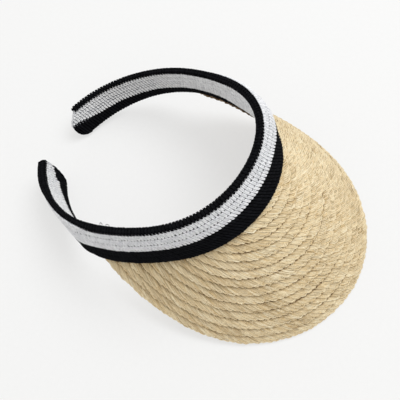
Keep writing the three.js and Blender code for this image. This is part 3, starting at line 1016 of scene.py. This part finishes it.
def add_end(name, side):
    """The tape turned round a free end, with the same three stripes."""
    surface = end_point(side)
    run = math.pi * HALF
    ribs = run * np.array([0.12, 0.38, 0.64, 0.90])
    end_arc = side * END_ARC
    outside = float(outer_split(np.array(end_arc)))
    inside = float(inner_split(np.array(side * float(end_limit(side, np.array(END_HEIGHT / 2))))))
    stripe_loss = 1.9 if side > 0 else 0.6

    def split(around):
        return outside + (inside - outside) * np.clip(around / run, 0, 1)

    def top_stripe(around):
        return TOP_STRIPE - stripe_loss * np.clip(around / run, 0, 1)

    def everywhere(around, depth):
        return np.ones(around.shape, bool)

    low = level_at(END_HEIGHT + BOTTOM_ROUND * 0.8)
    shape = Shape()
    ground(shape, surface, level_at(0.0), low, plain, 3, (-0.4, run + 0.4))
    stitches(shape, surface, upright, level_at(0.2), top_stripe, 1, BLACK_LEGS, everywhere, 2, ribs)
    stitches(shape, surface, upright, top_stripe, split, 4, INNER_LEGS, everywhere, 0, ribs)
    stitches(shape, surface, upright, split, low, 4, BLACK_LEGS, everywhere, 2, ribs)
    add_piece(f"knit_{name}", shape, WHITE_KNIT + BLACK_KNIT, "white_knit", name)


# ---- Inside the band: padding --------------------------------------------------------------------
def add_foam():
    """Soft padding between the spring strip and the inner face, with rounded edges."""
    outer = HALF - TAPE - LINING_GAP - SPRING_THICKNESS - GAP
    inner = -(HALF - TAPE - LINING_GAP)
    lining_end = float(np.interp(rad(LINING_END_ANGLE), ANGLE_TABLE, ARC_TABLE))
    arcs = np.linspace(-lining_end, lining_end, 220)[:, None]
    angle = angle_at(arcs)
    past_brim = np.abs(np.degrees(angle)) - BRIM_HALF_ANGLE
    behind = smooth((past_brim - LINING_DROP_AFTER) / LINING_DROP_SPAN)
    low = band_height(angle) - (MARGIN_HEIGHT + GAP) * (1 - behind) - TAPE * behind
    turn = np.linspace(0, 2 * math.pi, 24, endpoint=False)[None, :]
    round_out = np.sign(np.cos(turn)) * np.abs(np.cos(turn)) ** 0.7
    round_deep = np.sign(np.sin(turn)) * np.abs(np.sin(turn)) ** 0.3
    swell = 1 + 0.06 * np.sin(arcs * 0.37) * np.cos(arcs * 0.11)
    out = (outer + inner) / 2 + (outer - inner) / 2 * round_out * np.minimum(swell, 1)
    top = TAPE + GAP
    depth = (top + low) / 2 + (low - top) / 2 * round_deep
    points = band_point(np.broadcast_to(angle, depth.shape), out, depth)
    shape = Shape()
    shape.add(points, tube_faces(*depth.shape))
    foam = add_piece("padding_foam", shape, [foam_material()], "foam", "forehead_foam")


# ---- Camera, floor and light ---------------------------------------------------------------------
CAMERA_AZIMUTH = -65.75
CAMERA_ELEVATION = 65.81
CAMERA_ROLL = 0.58
CAMERA_DISTANCE = 0.4357
CAMERA_AIM = Vector((-0.0129, -0.0013, 0.040))
CAMERA_LENS = 54.0
FLOOR_HALF_SIZE = 3.0
SKY_COLOUR = (1.0, 0.985, 0.96, 1)
SKY_STRENGTH = 0.76
WINDOW = {"azimuth": 66, "elevation": 65, "distance": 1.5, "size": 1.0, "power": 12.5,
          "colour": (0.965, 0.985, 1.0)}


def direction(azimuth, elevation):
    """Unit vector from the object towards a viewer. Azimuth 0 is in front of the brim, at -Y."""
    a, e = rad(azimuth), rad(elevation)
    return Vector((math.sin(a) * math.cos(e), -math.cos(a) * math.cos(e), math.sin(e)))


def add_camera():
    camera = bpy.data.objects.new("camera", bpy.data.cameras.new("camera"))
    camera.data.lens = CAMERA_LENS
    camera.data.sensor_width = 36
    camera.data.clip_start = 0.01
    back = direction(CAMERA_AZIMUTH, CAMERA_ELEVATION)
    level = Vector((math.cos(rad(CAMERA_AZIMUTH)), math.sin(rad(CAMERA_AZIMUTH)), 0))
    right = Matrix.Rotation(rad(CAMERA_ROLL), 3, back) @ level
    axes = Matrix((right, back.cross(right), back)).transposed()
    camera.matrix_world = Matrix.Translation(CAMERA_AIM + back * CAMERA_DISTANCE) @ axes.to_4x4()
    bpy.context.scene.collection.objects.link(camera)
    bpy.context.scene.camera = camera


def add_stage():
    size = FLOOR_HALF_SIZE
    mesh = bpy.data.meshes.new("floor")
    mesh.from_pydata([(-size, -size, 0), (size, -size, 0), (size, size, 0), (-size, size, 0)], [],
                     [(0, 1, 2, 3)])
    mesh.materials.append(floor_material())
    floor = bpy.data.objects.new("floor", mesh)
    bpy.context.scene.collection.objects.link(floor)


def add_light(name, azimuth, elevation, distance, size, power, colour):
    lamp = bpy.data.lights.new(name, "AREA")
    lamp.shape = "DISK"
    lamp.size = size
    lamp.energy = power
    lamp.color = colour
    light = bpy.data.objects.new(name, lamp)
    towards = direction(azimuth, elevation)
    light.location = towards * distance
    light.rotation_mode = "QUATERNION"
    light.rotation_quaternion = towards.to_track_quat("Z", "Y")
    bpy.context.scene.collection.objects.link(light)


def add_lighting():
    world = bpy.data.worlds.new("studio")
    world.use_nodes = True
    background = world.node_tree.nodes["Background"]
    background.inputs["Color"].default_value = SKY_COLOUR
    background.inputs["Strength"].default_value = SKY_STRENGTH
    bpy.context.scene.world = world
    add_light("window", **WINDOW)
    bpy.context.scene.view_settings.view_transform = "Standard"


add_camera()
add_stage()
add_lighting()
for braid_row in range(ROWS):
    plait_row(braid_row)
add_margin()
add_tape()
add_end("end_cap_left", 1)
add_end("end_cap_right", -1)
add_foam()

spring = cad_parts["spring_strip"]
spring.data.materials.clear()
spring.data.materials.append(plastic_material())
